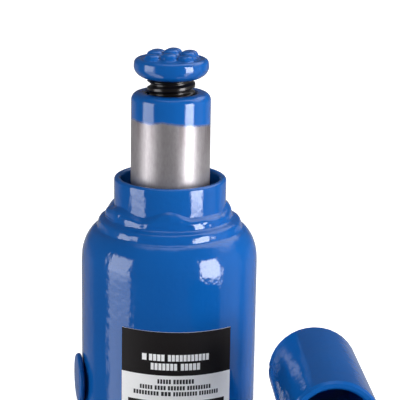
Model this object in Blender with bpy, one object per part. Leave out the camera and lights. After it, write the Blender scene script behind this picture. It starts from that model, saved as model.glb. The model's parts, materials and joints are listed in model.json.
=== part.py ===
"""Two-ton welded hydraulic bottle jack, ram partly raised and extension screw wound out a little.

Lengths are millimetres until a mesh is made; the mesh builders turn them into metres.
The origin is on the ram axis at the underside of the base. +Z is up and the handle
socket opens towards -Y.
"""
import math

import bmesh
import bpy
from mathutils import Matrix, Vector

MM = 0.001
GAP = 0.3                      # running or fitting clearance between neighbouring pieces
FINE = 36                      # sides of the large round pieces
MEDIUM = 24
SMALL = 12

# Base casting
BASE_LEFT, BASE_RIGHT = -42.0, 62.0
BASE_FRONT, BASE_BACK = -54.0, 42.0
BASE_CORNER = 14.0
PLATE_TOP = 18.0
PAD_TOP = 24.0
PAD_RADIUS = 34.5
CYLINDER_FLOOR = 20.0

# Reservoir tank
TANK_RADIUS = 30.15
TANK_WALL = 1.8
TANK_BOTTOM = PAD_TOP + GAP
SHOULDER_START = 142.0
SHOULDER_OUTLINE = (
    (29.95, 145.0), (29.5, 147.3), (28.5, 150.0), (27.0, 152.3), (25.1, 154.3), (23.2, 155.7),
)
NECK_TOP = 156.0

# Weld bead between the tank and the neck
BEAD_OUTLINE = ((22.4, 156.8), (22.0, 158.0), (21.2, 159.5), (20.2, 160.6))
BEAD_TOP = 161.2

# Pressure cylinder, whose open top end forms the neck
CYLINDER_RADIUS = 19.1
CYLINDER_BORE = 14.5
CYLINDER_TOP = 171.2
GLAND_SEAT = 151.1
GLAND_BORE = 16.7
RIM_ROUND = 0.95
GASKET_THICKNESS = 1.2

# Gland nut and its seals
GLAND_BOTTOM = GLAND_SEAT + GAP
GLAND_TOP = 164.3
SEAL_POCKET = 15.2
SEAL_BOTTOM, SEAL_TOP = 153.6, 157.4
WIPER_FLOOR = 161.6

# Ram
RAM_RADIUS = 13.45
RAM_TOP = 200.3
RAM_BOTTOM = 53.7
RAM_FLANGE = 14.2
RAM_EDGE_ROUND = 2.6
RAM_HOLLOW = 9.5
HOLLOW_BOTTOM, HOLLOW_TOP = 110.0, 184.3
SPIGOT_RADIUS = 9.0
SPIGOT_TOP = 66.1
FLANGE_TOP = 71.6

# Seal stack on the ram's spigot, which runs in the cylinder bore
STACK_BORE = SPIGOT_RADIUS + GAP
STACK_RADIUS = CYLINDER_BORE - GAP
SEAL_NUT_BOTTOM, SEAL_NUT_TOP = 54.6, 57.9
CUP_BOTTOM, CUP_TOP = SEAL_NUT_TOP + GAP, 63.6
BACKUP_TOP = SPIGOT_TOP - GAP

# Extension screw and saddle
SCREW_CREST = 8.1
SCREW_ROOT = 7.1
SCREW_PITCH = 3.0
SCREW_BOTTOM, SCREW_TOP = 137.5, 208.0
THREAD_BOTTOM, THREAD_TOP = 141.5, 204.7
STOP_SHANK = 6.0
STOP_BOTTOM, STOP_TOP = 138.7, 141.2
SADDLE_UNDERSIDE = 205.0
SADDLE_OUTLINE = (
    (7.6, 205.0), (9.8, 205.5), (11.6, 206.7), (12.5, 208.2), (12.65, 209.3), (12.5, 210.9),
    (11.9, 212.1), (10.9, 212.9),
)
SADDLE_FACE = 213.1
SADDLE_TOP = 214.9
KNOB_SPACING = 5.65
KNOB_RADIUS = 2.6
KNOB_TURN = -11.0
KNOB_FALL = 0.0176             # how far a knob's top drops for each square millimetre outwards

# Filler plug on the left of the tank
PLUG_AZIMUTH = 187.0
PLUG_HEIGHT = 99.8
PLUG_HEAD = 8.7
PLUG_STEM = 4.6

# Label around the front of the tank
LABEL_AZIMUTH = -87.0
LABEL_HALF_ANGLE = 36.6
LABEL_BOTTOM, LABEL_TOP = 46.0, 126.2

# Pump, at the right front of the base
PUMP_X, PUMP_Y = 44.4, -34.0
PUMP_BOSS_TOP = 28.0
PUMP_SEAT = 14.5
PUMP_BARREL = 9.3
PUMP_STEM = 8.0
PUMP_TOP = 72.0
PUMP_BORE = 5.3
PUMP_HEXAGON, HEXAGON_TOP = 10.9, 40.0
WASHER_TOP = 15.5
PACKING_RADIUS = 7.0
PACKING_BOTTOM, PACKING_TOP = 62.0, 67.0
PLUNGER_RADIUS = 5.0
PLUNGER_BOTTOM = 27.0
GROOVE_RADIUS = 3.7
GROOVE_BOTTOM, GROOVE_TOP = 30.0, 32.6
EYE_HEIGHT = 92.0
EYE_HOLE = 3.3

# Lever linkage: a link from the base ear carries the socket, whose pin works the plunger
PIN_RADIUS = 2.5
PIN_HOLE = PIN_RADIUS + GAP
LINK_Y, LINK_Z = -18.3, 35.0
PIN_Y, PIN_Z = PUMP_Y - 0.4, EYE_HEIGHT + 0.2
LEVER_ARM = 18.0
LEVER_ANGLE = math.radians(20.0)
FULCRUM_Y = PIN_Y + LEVER_ARM * math.cos(LEVER_ANGLE)
FULCRUM_Z = PIN_Z - LEVER_ARM * math.sin(LEVER_ANGLE)
BASE_EAR_HALF = 9.0
LUG_INNER, LUG_OUTER = 5.6, 9.0
LINK_INNER, LINK_OUTER = 9.4, 12.4
LINK_EYE = 5.6
PIN_GROOVE = 1.7

# Handle socket tube
SOCKET_RADIUS = 14.4
SOCKET_BORE = 11.8
SOCKET_Z = 117.95
SOCKET_BACK, SOCKET_MOUTH = -44.0, -92.0
SOCKET_FLOOR = -48.4
SOCKET_EDGE = 0.7
SOCKET_SIDE_HOLE = 1.8
SIDE_HOLE_Y, SIDE_HOLE_Z = -46.3, 118.7
SIDE_HOLE_DEPTH = 4.0
LUG_WELD_Z = 105.1

# Oil passages and valves inside the base
BALL_RADIUS = 2.2
POCKET_RADIUS = 3.0
PASSAGE_RADIUS = 1.5
RISER_RADIUS = 1.2
DRILLING_RADIUS = 1.3
OUTLET_Z = 11.5
OUTLET_SEAT = 13.2
RETAINER_BOTTOM = 18.7
INLET_Z = 4.0
INLET_SEAT, INLET_POCKET_TOP = 6.5, 9.8
INLET_X, INLET_Y = 22.5, -6.0
RELEASE_X, RELEASE_Z = -6.0, 13.0
RELEASE_FRONT = -57.0
RELEASE_SEAT = -21.5
RELEASE_STEP = 6.5
RELEASE_BORE = 4.2
RELEASE_STEM = 3.9
RELEASE_NECK = 2.9
RELIEF_Y, RELIEF_Z = 8.0, 12.0
RELIEF_SEAT = 24.0
RELIEF_SCREW_X = 45.0
RELIEF_SCREW_LENGTH = 13.0

X_AXIS = Vector((1, 0, 0))
Y_AXIS = Vector((0, 1, 0))
Z_AXIS = Vector((0, 0, 1))


# ---------------------------------------------------------------- mesh builders

def arc(centre_r, centre_z, radius, start, end, steps):
    """Points of a circular arc in an (r, z) outline, angles in degrees from +r towards +z."""
    points = []
    for step in range(steps + 1):
        angle = math.radians(start + (end - start) * step / steps)
        points.append((centre_r + radius * math.cos(angle), centre_z + radius * math.sin(angle)))
    return points


def turned(outline, sides=MEDIUM):
    """Body turned about local Z from an (r, z) outline; a point at r = 0 is a pole."""
    bm = bmesh.new()
    rings = []
    for radius, height in outline:
        count = 1 if radius == 0 else sides
        ring = []
        for side in range(count):
            angle = math.tau * side / sides
            ring.append(bm.verts.new((radius * math.cos(angle) * MM,
                                      radius * math.sin(angle) * MM, height * MM)))
        rings.append(ring)
    has_poles = outline[0][0] == 0
    following = rings[1:] if has_poles else rings[1:] + rings[:1]
    for ring, other in zip(rings, following):
        for side in range(sides):
            after = (side + 1) % sides
            corners = [ring[side % len(ring)], ring[after % len(ring)],
                       other[after % len(other)], other[side % len(other)]]
            bm.faces.new(list(dict.fromkeys(corners)))
    return bm


def rod(radius, start, end, sides=SMALL):
    """Plain round bar along local Z."""
    return turned([(0, start), (radius, start), (radius, end), (0, end)], sides)


def ring(inner, outer, bottom, top, sides=MEDIUM):
    """Plain ring of square section."""
    return turned([(inner, bottom), (outer, bottom), (outer, top), (inner, top)], sides)


def soft_ring(inner, outer, bottom, top, sides=MEDIUM):
    """Ring of eight-sided section, for seals and round wire."""
    cut = 0.29 * min(outer - inner, top - bottom)
    return turned([(inner + cut, bottom), (outer - cut, bottom), (outer, bottom + cut),
                   (outer, top - cut), (outer - cut, top), (inner + cut, top),
                   (inner, top - cut), (inner, bottom + cut)], sides)


def ball(radius, sides=12):
    """Sphere centred on the local origin."""
    points = arc(0, 0, radius, -90, 90, sides // 2)
    points[0] = (0, -radius)
    points[-1] = (0, radius)
    return turned(points, sides)


def loft(loops):
    """Closed body through flat loops of equal length; each loop is a list of (x, y, z)."""
    bm = bmesh.new()
    rows = [[bm.verts.new((x * MM, y * MM, z * MM)) for x, y, z in loop] for loop in loops]
    bm.faces.new(rows[0])
    bm.faces.new(rows[-1])
    for row, other in zip(rows, rows[1:]):
        for index in range(len(row)):
            after = (index + 1) % len(row)
            bm.faces.new((row[index], row[after], other[after], other[index]))
    return bm


def rounded_rectangle(inset, height, steps=5):
    """Loop of the base footprint, drawn in by inset, at a height."""
    radius = BASE_CORNER - inset
    centres = ((BASE_RIGHT - BASE_CORNER, BASE_BACK - BASE_CORNER, 0),
               (BASE_LEFT + BASE_CORNER, BASE_BACK - BASE_CORNER, 90),
               (BASE_LEFT + BASE_CORNER, BASE_FRONT + BASE_CORNER, 180),
               (BASE_RIGHT - BASE_CORNER, BASE_FRONT + BASE_CORNER, 270))
    loop = []
    for x, y, start in centres:
        for px, py in arc(x, y, radius, start, start + 90, steps):
            loop.append((px, py, height))
    return loop


def polygon_bar(radius, corners, start, end):
    """Bar of regular polygon section along local Z; radius is to the corners."""
    angles = [math.tau * corner / corners for corner in range(corners)]
    return loft([[(radius * math.cos(a), radius * math.sin(a), height) for a in angles]
                 for height in (start, end)])


def hexagon_nut(hole, corner, bottom, top, sides=24):
    """Hexagon nut with a round hole; corner is the radius to its corners."""
    bm = bmesh.new()
    sixth = math.tau / 6
    loops = []
    for height, inside in ((bottom, True), (bottom, False), (top, False), (top, True)):
        loop = []
        for side in range(sides):
            angle = math.tau * side / sides
            flat = corner * math.cos(sixth / 2) / math.cos(angle % sixth - sixth / 2)
            reach = hole if inside else flat
            loop.append(bm.verts.new((reach * math.cos(angle) * MM,
                                      reach * math.sin(angle) * MM, height * MM)))
        loops.append(loop)
    for loop, other in zip(loops, loops[1:] + loops[:1]):
        for side in range(sides):
            after = (side + 1) % sides
            bm.faces.new((loop[side], loop[after], other[after], other[side]))
    return bm


def block(x0, x1, y0, y1, z0, z1):
    """Rectangular block between the given planes."""
    return loft([[(x0, y0, z), (x1, y0, z), (x1, y1, z), (x0, y1, z)] for z in (z0, z1)])


def hull_plate(circles, x0, x1, steps=14):
    """Flat plate between two X planes whose edge wraps round (y, z, radius) circles."""
    bm = bmesh.new()
    for x in (x0, x1):
        for y, z, radius in circles:
            for step in range(steps):
                angle = math.tau * step / steps
                bm.verts.new((x * MM, (y + radius * math.cos(angle)) * MM,
                              (z + radius * math.sin(angle)) * MM))
    hull = bmesh.ops.convex_hull(bm, input=bm.verts)
    spare = [item for item in hull["geom_interior"] if isinstance(item, bmesh.types.BMVert)]
    bmesh.ops.delete(bm, geom=spare, context="VERTS")
    bmesh.ops.dissolve_limit(bm, angle_limit=math.radians(0.5), verts=bm.verts, edges=bm.edges)
    return bm


def threaded_bar(root, crest, pitch, start, end, sides=12):
    """Right-hand thread along local Z whose ridge fades out over the last half turn at each end."""
    bm = bmesh.new()
    section = ((0.0, root), (0.32, crest), (0.72, crest))
    turns = int((end - start) / pitch) + 2
    columns = []
    for side in range(sides):
        lead = pitch * side / sides
        column = []
        for turn in range(-1, turns):
            for fraction, radius in section:
                height = min(max(start + pitch * (turn + fraction) + lead, start), end)
                fade = min(1.0, (height - start) / (0.5 * pitch), (end - height) / (0.5 * pitch))
                reach = root + (radius - root) * fade
                angle = math.tau * side / sides
                column.append(bm.verts.new((reach * math.cos(angle) * MM,
                                            reach * math.sin(angle) * MM, height * MM)))
        columns.append(column)
    per_turn = len(section)
    for side, column in enumerate(columns):
        other = columns[(side + 1) % sides]
        shift = per_turn if side == sides - 1 else 0
        for index in range(len(column) - 1 - shift):
            bm.faces.new((column[index], other[index + shift],
                          other[index + 1 + shift], column[index + 1]))
    bmesh.ops.remove_doubles(bm, verts=bm.verts, dist=1e-7)
    bmesh.ops.dissolve_degenerate(bm, edges=bm.edges, dist=1e-7)
    bmesh.ops.holes_fill(bm, edges=bm.edges)
    return bm


def coil(radius, wire, length, turns, steps=9, sides=4):
    """Compression spring along local Z from height 0 to length."""
    bm = bmesh.new()
    rings = []
    count = int(turns * steps)
    rise = length - 2 * wire
    for step in range(count + 1):
        angle = math.tau * step / steps
        centre = Vector((radius * math.cos(angle), radius * math.sin(angle),
                         wire + rise * step / count))
        outward = Vector((math.cos(angle), math.sin(angle), 0))
        section = []
        for side in range(sides):
            lean = math.tau * side / sides
            point = centre + wire * (math.cos(lean) * outward + math.sin(lean) * Z_AXIS)
            section.append(bm.verts.new(point * MM))
        rings.append(section)
    for section, other in zip(rings, rings[1:]):
        for side in range(sides):
            after = (side + 1) % sides
            bm.faces.new((section[side], section[after], other[after], other[side]))
    bm.faces.new(rings[0])
    bm.faces.new(rings[-1])
    return bm


# ---------------------------------------------------------------- objects and modifiers

def surface(name, colour, roughness, metallic=0.0):
    """Plain material of one colour."""
    made = bpy.data.materials.new(name)
    made.use_nodes = True
    shader = made.node_tree.nodes["Principled BSDF"]
    shader.inputs["Base Color"].default_value = (*colour, 1.0)
    shader.inputs["Roughness"].default_value = roughness
    shader.inputs["Metallic"].default_value = metallic
    made.diffuse_color = (*colour, 1.0)
    return made


def piece(name, bm, finish, at=(0, 0, 0), along=Z_AXIS):
    """Object from a mesh whose local Z points along a direction; its origin is at a point in mm."""
    bmesh.ops.recalc_face_normals(bm, faces=bm.faces)
    mesh = bpy.data.meshes.new(name)
    bm.to_mesh(mesh)
    bm.free()
    mesh.materials.append(finish)
    mesh.shade_smooth()
    mesh.set_sharp_from_angle(angle=math.radians(35))
    made = bpy.data.objects.new(name, mesh)
    made.location = Vector(at) * MM
    made.rotation_euler = Z_AXIS.rotation_difference(Vector(along)).to_euler()
    bpy.context.collection.objects.link(made)
    return made


def change(target, operation, bm, at=(0, 0, 0), along=Z_AXIS):
    """Boolean of a target with a tool mesh; the tool is left out of the finished part."""
    number = len(target.modifiers) + 1
    tool = piece(f"{target.name}_tool_{number}", bm, target.data.materials[0], at, along)
    tool.hide_render = True
    tool.display_type = "WIRE"
    modifier = target.modifiers.new(tool.name, "BOOLEAN")
    modifier.operation = operation
    modifier.solver = "EXACT"
    modifier.object = tool


def join(target, bm, at=(0, 0, 0), along=Z_AXIS):
    change(target, "UNION", bm, at, along)


def cut(target, bm, at=(0, 0, 0), along=Z_AXIS):
    change(target, "DIFFERENCE", bm, at, along)


def direction(degrees):
    """Level unit vector at an azimuth measured from +X towards +Y."""
    angle = math.radians(degrees)
    return Vector((math.cos(angle), math.sin(angle), 0))


# ---------------------------------------------------------------- base and oil passages

OUTLET_WAY = Vector((PUMP_X, PUMP_Y, 0)).normalized()
OUTLET_SPAN = math.hypot(PUMP_X, PUMP_Y)
OUTLET_PLUG = 68.0
INLET_WAY = Vector((PUMP_X - INLET_X, PUMP_Y - INLET_Y, 0)).normalized()
INLET_SPAN = math.hypot(PUMP_X - INLET_X, PUMP_Y - INLET_Y)
INLET_PLUG = INLET_SPAN + 14.0


def build_base(paint):
    """Cast foot with tank pad, pump boss, link ear and release valve boss."""
    levels = ((1.0, 0.0), (0.0, 1.2), (1.0, 15.2), (2.0, 17.2), (4.0, PLATE_TOP))
    base = piece("base_casting", loft([rounded_rectangle(*level) for level in levels]), paint)
    pad = turned([(0, 8), (38.0, 8), (38.0, 16.5), (PAD_RADIUS + 0.6, 20.5), (PAD_RADIUS, 22.8),
                  (PAD_RADIUS - 1.2, PAD_TOP), (0, PAD_TOP)], FINE)
    join(base, pad)
    boss = turned([(0, 8), (15.2, 8), (15.0, 18), (14.4, 26.8), (13.2, PUMP_BOSS_TOP),
                   (0, PUMP_BOSS_TOP)])
    join(base, boss, (PUMP_X, PUMP_Y, 0))
    ear = hull_plate([(LINK_Y, LINK_Z, 5.8), (LINK_Y + 2.0, 14.0, 7.5), (LINK_Y - 2.0, 14.0, 5.0)],
                     PUMP_X - BASE_EAR_HALF, PUMP_X + BASE_EAR_HALF)
    join(base, ear)
    snout = turned([(0, 0), (9.6, 0), (9.6, 20.0), (8.6, 21.4), (0, 21.4)])
    join(base, snout, (RELEASE_X, -34.6, RELEASE_Z - 1.0), -Y_AXIS)
    cut(base, rod(PIN_HOLE, -20, 20), (PUMP_X, LINK_Y, LINK_Z), X_AXIS)
    cut_cylinder_seat(base)
    cut_pump_seat(base)
    cut_release_valve(base)
    cut_relief_valve(base)


def cut_cylinder_seat(base):
    """Counterbore for the pressure cylinder and the outlet valve pocket below it."""
    seat = turned([(0, 8), (PASSAGE_RADIUS, 8), (PASSAGE_RADIUS, OUTLET_SEAT),
                   (POCKET_RADIUS, OUTLET_SEAT), (POCKET_RADIUS, CYLINDER_FLOOR),
                   (CYLINDER_RADIUS + GAP, CYLINDER_FLOOR),
                   (CYLINDER_RADIUS + GAP, PAD_TOP + 4), (0, PAD_TOP + 4)], FINE)
    cut(base, seat)


def cut_pump_seat(base):
    """Stepped pump bore with the inlet valve pocket, and the two cross-drilled oil ways."""
    seat = turned([(0, INLET_Z), (RISER_RADIUS, INLET_Z), (RISER_RADIUS, INLET_SEAT),
                   (POCKET_RADIUS, INLET_SEAT), (POCKET_RADIUS, INLET_POCKET_TOP),
                   (4.6, INLET_POCKET_TOP), (4.6, PUMP_SEAT), (PUMP_STEM + GAP, PUMP_SEAT),
                   (PUMP_STEM + GAP, 32), (0, 32)])
    cut(base, seat, (PUMP_X, PUMP_Y, 0))
    outlet = turned([(0, 0.5), (DRILLING_RADIUS, 0.5), (DRILLING_RADIUS, OUTLET_PLUG),
                     (POCKET_RADIUS, OUTLET_PLUG), (POCKET_RADIUS, 84), (0, 84)], SMALL)
    cut(base, outlet, (0, 0, OUTLET_Z), OUTLET_WAY)
    inlet = turned([(0, 0), (DRILLING_RADIUS, 0), (DRILLING_RADIUS, INLET_PLUG),
                    (2.0, INLET_PLUG), (2.0, 64), (0, 64)], SMALL)
    cut(base, inlet, (INLET_X, INLET_Y, INLET_Z), INLET_WAY)
    cut(base, rod(RISER_RADIUS, INLET_Z, PAD_TOP + 2), (INLET_X, INLET_Y, 0))


def cut_release_valve(base):
    """Stepped bore for the release screw and ball, with its supply and return holes."""
    depth = RELEASE_SEAT - RELEASE_FRONT
    bore = turned([(0, -14), (PASSAGE_RADIUS, -14), (PASSAGE_RADIUS, 0), (POCKET_RADIUS, 0),
                   (POCKET_RADIUS, RELEASE_STEP), (RELEASE_BORE, RELEASE_STEP),
                   (RELEASE_BORE, depth + 2), (0, depth + 2)], 16)
    cut(base, bore, (RELEASE_X, RELEASE_SEAT, RELEASE_Z), -Y_AXIS)
    cut(base, rod(RISER_RADIUS, RELEASE_Z, 30), (RELEASE_X, -9.5, 0))
    cut(base, rod(RISER_RADIUS, RELEASE_Z, 30), (RELEASE_X, -24.6, 0))


def cut_relief_valve(base):
    """Bore for the overload relief valve from the right side of the base."""
    bore = turned([(0, -14), (PASSAGE_RADIUS, -14), (PASSAGE_RADIUS, 0), (3.4, 0), (3.4, 42),
                   (0, 42)], SMALL)
    cut(base, bore, (RELIEF_SEAT, RELIEF_Y, RELIEF_Z), X_AXIS)
    cut(base, rod(RISER_RADIUS, RELIEF_Z, 30), (RELIEF_SEAT - 12, RELIEF_Y, 0))
    cut(base, rod(RISER_RADIUS, RELIEF_Z, 30), (RELIEF_SEAT + 2.3, RELIEF_Y, 0))


def build_valves(steel, brass):
    """Check balls, relief valve, strainer and passage plugs inside the base."""
    seat_lift = GAP + math.sqrt(BALL_RADIUS ** 2 - PASSAGE_RADIUS ** 2)
    inlet_lift = GAP + math.sqrt(BALL_RADIUS ** 2 - RISER_RADIUS ** 2)
    piece("inlet_ball", ball(BALL_RADIUS), steel, (PUMP_X, PUMP_Y, INLET_SEAT + inlet_lift))
    piece("outlet_ball", ball(BALL_RADIUS), steel, (0, 0, OUTLET_SEAT + seat_lift))
    retainer = ring(1.0, POCKET_RADIUS - GAP, RETAINER_BOTTOM, RETAINER_BOTTOM + 1.0, SMALL)
    piece("outlet_ball_retainer", retainer, brass)
    relief = Vector((RELIEF_SEAT + seat_lift, RELIEF_Y, RELIEF_Z))
    piece("relief_ball", ball(BALL_RADIUS), steel, relief, X_AXIS)
    piece("relief_spring", coil(2.2, 0.5, 15.0, 5), steel,
          relief + (BALL_RADIUS + GAP) * X_AXIS, X_AXIS)
    length = RELIEF_SCREW_LENGTH
    screw_at = (RELIEF_SCREW_X, RELIEF_Y, RELIEF_Z)
    body = turned([(0, 0), (2.6, 0), (3.1, 0.6), (3.1, length - 0.6), (2.6, length),
                   (0, length)], SMALL)
    screw = piece("relief_screw", body, steel, screw_at, X_AXIS)
    cut(screw, block(-4, 4, -0.6, 0.6, length - 1.6, length + 1), screw_at, X_AXIS)
    cup = turned([(0, 29.4), (2.6, 29.4), (3.2, 28.6), (3.2, PAD_TOP + GAP),
                  (2.4, PAD_TOP + GAP), (2.4, 28.2), (0, 28.2)], SMALL)
    piece("oil_strainer", cup, brass, (INLET_X, INLET_Y, 0))
    piece("outlet_passage_plug", rod(POCKET_RADIUS - GAP, OUTLET_PLUG + GAP, 74.5), steel,
          (0, 0, OUTLET_Z), OUTLET_WAY)
    piece("inlet_passage_plug", rod(1.7, INLET_PLUG + GAP, INLET_PLUG + 5.5, 16), steel,
          (INLET_X, INLET_Y, INLET_Z), INLET_WAY)


def build_release_valve(steel, rubber):
    """Release screw with a slotted head, its O-ring and the ball it presses on the seat."""
    seat_lift = GAP + math.sqrt(BALL_RADIUS ** 2 - PASSAGE_RADIUS ** 2)
    at = (RELEASE_X, RELEASE_SEAT, RELEASE_Z)
    piece("release_ball", ball(BALL_RADIUS),
          steel, (RELEASE_X, RELEASE_SEAT - seat_lift, RELEASE_Z), -Y_AXIS)
    tip = seat_lift + BALL_RADIUS + GAP
    face = RELEASE_SEAT - RELEASE_FRONT + 0.8
    groove, groove_end = 22.0, 25.0
    end = face + 9.0
    outline = [(0, tip), (1.8, tip), (2.6, tip + 1.2), (2.6, RELEASE_STEP + 0.9),
               (RELEASE_STEM, RELEASE_STEP + 1.5), (RELEASE_STEM, groove),
               (RELEASE_NECK, groove), (RELEASE_NECK, groove_end), (RELEASE_STEM, groove_end),
               (RELEASE_STEM, face), (6.2, face), (7.0, face + 0.9), (7.0, end - 1.0),
               (6.0, end), (0, end)]
    screw = piece("release_screw", turned(outline, 16), steel, at, -Y_AXIS)
    cut(screw, block(-9, 9, -1.3, 1.3, end - 4.6, end + 3), at, -Y_AXIS)
    seal = soft_ring(RELEASE_NECK + GAP / 2, RELEASE_BORE - GAP / 2, groove + 0.4,
                     groove_end - 0.4, SMALL)
    piece("release_o_ring", seal, rubber, at, -Y_AXIS)


# ---------------------------------------------------------------- tank, cylinder and gland

def build_tank(paint, rubber):
    """Welded reservoir shell with domed shoulder and neck bead, and its filler plug."""
    inner = TANK_RADIUS - TANK_WALL
    neck = CYLINDER_RADIUS + GAP
    outline = [(TANK_RADIUS, TANK_BOTTOM), (TANK_RADIUS, SHOULDER_START), *SHOULDER_OUTLINE,
               (22.4, NECK_TOP), (neck, NECK_TOP), (neck, NECK_TOP - 2.4),
               (24.6, 151.6), (27.2, 147.0), (inner, SHOULDER_START), (inner, TANK_BOTTOM)]
    tank = piece("reservoir_tank", turned(outline, FINE), paint)
    outward = direction(PLUG_AZIMUTH)
    cut(tank, rod(PLUG_STEM + GAP, 20, 40), (0, 0, PLUG_HEIGHT), outward)
    foot = NECK_TOP + GAP
    bead = [(neck, foot), (22.6, foot), *BEAD_OUTLINE, (neck, BEAD_TOP)]
    piece("neck_weld", turned(bead, FINE), paint)
    plug = turned([(0, 24.6), (PLUG_STEM - 0.8, 24.6), (PLUG_STEM, 26.0),
                   (PLUG_STEM, 30.4), (7.7, 30.4), (PLUG_HEAD - 0.3, 30.5),
                   (PLUG_HEAD, 30.8), (PLUG_HEAD, 31.5), (PLUG_HEAD - 0.4, 32.1), (7.0, 32.4),
                   (0, 32.6)], MEDIUM)
    piece("filler_plug", plug, rubber, (0, 0, PLUG_HEIGHT), outward)


def build_label(paper):
    """Thin wrapped panel on the front of the tank."""
    inner, outer = TANK_RADIUS + 0.15, TANK_RADIUS + 0.4
    steps = 16
    angles = [math.radians(LABEL_AZIMUTH - LABEL_HALF_ANGLE + 2 * LABEL_HALF_ANGLE * i / steps)
              for i in range(steps + 1)]
    loops = []
    for height in (LABEL_BOTTOM, LABEL_TOP):
        outside = [(outer * math.cos(a), outer * math.sin(a), height) for a in angles]
        inside = [(inner * math.cos(a), inner * math.sin(a), height) for a in reversed(angles)]
        loops.append(outside + inside)
    piece("body_label", loft(loops), paper)


def build_cylinder(paint, steel, copper, rubber):
    """Pressure cylinder on its gasket, and the gland nut that closes its neck."""
    seat = CYLINDER_FLOOR + GAP
    piece("cylinder_gasket", ring(15.0, 18.5, seat, seat + GASKET_THICKNESS), copper)
    foot = seat + GASKET_THICKNESS + GAP
    rim_outer = arc(CYLINDER_RADIUS - RIM_ROUND, CYLINDER_TOP - RIM_ROUND, RIM_ROUND, 0, 90, 3)
    rim_inner = arc(GLAND_BORE + RIM_ROUND, CYLINDER_TOP - RIM_ROUND, RIM_ROUND, 90, 180, 3)
    tube = [(CYLINDER_BORE, foot), (CYLINDER_RADIUS, foot), *rim_outer, *rim_inner,
            (GLAND_BORE, GLAND_SEAT), (CYLINDER_BORE, GLAND_SEAT)]
    piece("pressure_cylinder", turned(tube, FINE), paint)
    run = RAM_RADIUS + GAP
    outside = GLAND_BORE - GAP
    nut = [(run, GLAND_BOTTOM), (outside, GLAND_BOTTOM), (outside, GLAND_TOP - 0.8),
           (outside - 0.8, GLAND_TOP), (SEAL_POCKET, GLAND_TOP), (SEAL_POCKET, WIPER_FLOOR),
           (run, WIPER_FLOOR), (run, SEAL_TOP), (SEAL_POCKET, SEAL_TOP),
           (SEAL_POCKET, SEAL_BOTTOM), (run, SEAL_BOTTOM)]
    piece("gland_nut", turned(nut), steel)
    lip = SEAL_POCKET - GAP
    piece("gland_seal", soft_ring(run, lip, SEAL_BOTTOM + GAP, SEAL_TOP - GAP), rubber)
    wiper = [(run, WIPER_FLOOR + GAP), (lip, WIPER_FLOOR + GAP), (lip, GLAND_TOP),
             (run + 0.5, GLAND_TOP + 0.7), (run, GLAND_TOP + 0.5)]
    piece("wiper_ring", turned(wiper, FINE), rubber)


# ---------------------------------------------------------------- ram, screw and saddle

def build_ram(steel, rubber, nylon):
    """Hollow ram with the seal stack on its lower spigot."""
    edge = arc(RAM_RADIUS - RAM_EDGE_ROUND, RAM_TOP - RAM_EDGE_ROUND, RAM_EDGE_ROUND, 0, 90, 4)
    outline = [(0, RAM_BOTTOM), (SPIGOT_RADIUS - 0.8, RAM_BOTTOM),
               (SPIGOT_RADIUS, RAM_BOTTOM + 0.8),
               (SPIGOT_RADIUS, SPIGOT_TOP), (RAM_FLANGE, SPIGOT_TOP), (RAM_FLANGE, FLANGE_TOP),
               (RAM_RADIUS, FLANGE_TOP), *edge, (SCREW_CREST + 1.2, RAM_TOP),
               (SCREW_CREST + GAP, RAM_TOP - 1.0), (SCREW_CREST + GAP, HOLLOW_TOP),
               (RAM_HOLLOW, HOLLOW_TOP), (RAM_HOLLOW, HOLLOW_BOTTOM), (0, HOLLOW_BOTTOM - 4)]
    piece("ram", turned(outline, FINE), steel)
    backup = ring(STACK_BORE, STACK_RADIUS - 0.1, CUP_TOP + GAP, BACKUP_TOP)
    piece("ram_backup_ring", backup, nylon)
    cup = turned([(STACK_BORE, CUP_BOTTOM), (11.0, CUP_BOTTOM), (11.6, CUP_BOTTOM + 2.8),
                  (12.4, CUP_BOTTOM + 2.8), (13.4, CUP_BOTTOM), (STACK_RADIUS, CUP_BOTTOM),
                  (STACK_RADIUS, CUP_TOP), (STACK_BORE, CUP_TOP)])
    piece("ram_cup_seal", cup, rubber)
    nut = hexagon_nut(STACK_BORE, 13.0, SEAL_NUT_BOTTOM, SEAL_NUT_TOP)
    piece("ram_seal_nut", nut, steel)


def build_screw(black_steel, paint, steel):
    """Coarse extension screw, the stop ring at its foot and the saddle on its head."""
    screw = piece("extension_screw",
                  threaded_bar(SCREW_ROOT, SCREW_CREST, SCREW_PITCH, THREAD_BOTTOM, THREAD_TOP),
                  black_steel)
    join(screw, rod(STOP_SHANK, SCREW_BOTTOM, THREAD_BOTTOM + 2, 16))
    join(screw, rod(STOP_SHANK, THREAD_TOP - 2, SCREW_TOP, 16))
    stop = ring(STOP_SHANK + GAP, RAM_HOLLOW - 0.4, STOP_BOTTOM, STOP_TOP)
    piece("screw_stop_ring", stop, steel)
    socket = STOP_SHANK + GAP
    outline = [(0, SCREW_TOP + GAP), (socket, SCREW_TOP + GAP), (socket, SADDLE_UNDERSIDE),
               *SADDLE_OUTLINE, (10.1, SADDLE_FACE), (0, SADDLE_FACE)]
    saddle = piece("saddle", turned(outline), paint)
    turn = math.radians(KNOB_TURN)
    for row in (-1, 0, 1):
        for column in (-1, 0, 1):
            x, y = column * KNOB_SPACING, row * KNOB_SPACING
            tall = SADDLE_TOP - SADDLE_FACE - KNOB_FALL * (x ** 2 + y ** 2)
            place = (x * math.cos(turn) - y * math.sin(turn),
                     x * math.sin(turn) + y * math.cos(turn), SADDLE_FACE)
            knob = turned([(0, -1.0), (KNOB_RADIUS, -1.0), (KNOB_RADIUS, 0.1),
                           (0.85 * KNOB_RADIUS, 0.6 * tall), (0.55 * KNOB_RADIUS, tall),
                           (0, tall)], 10)
            join(saddle, knob, place)


# ---------------------------------------------------------------- pump and handle linkage

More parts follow.
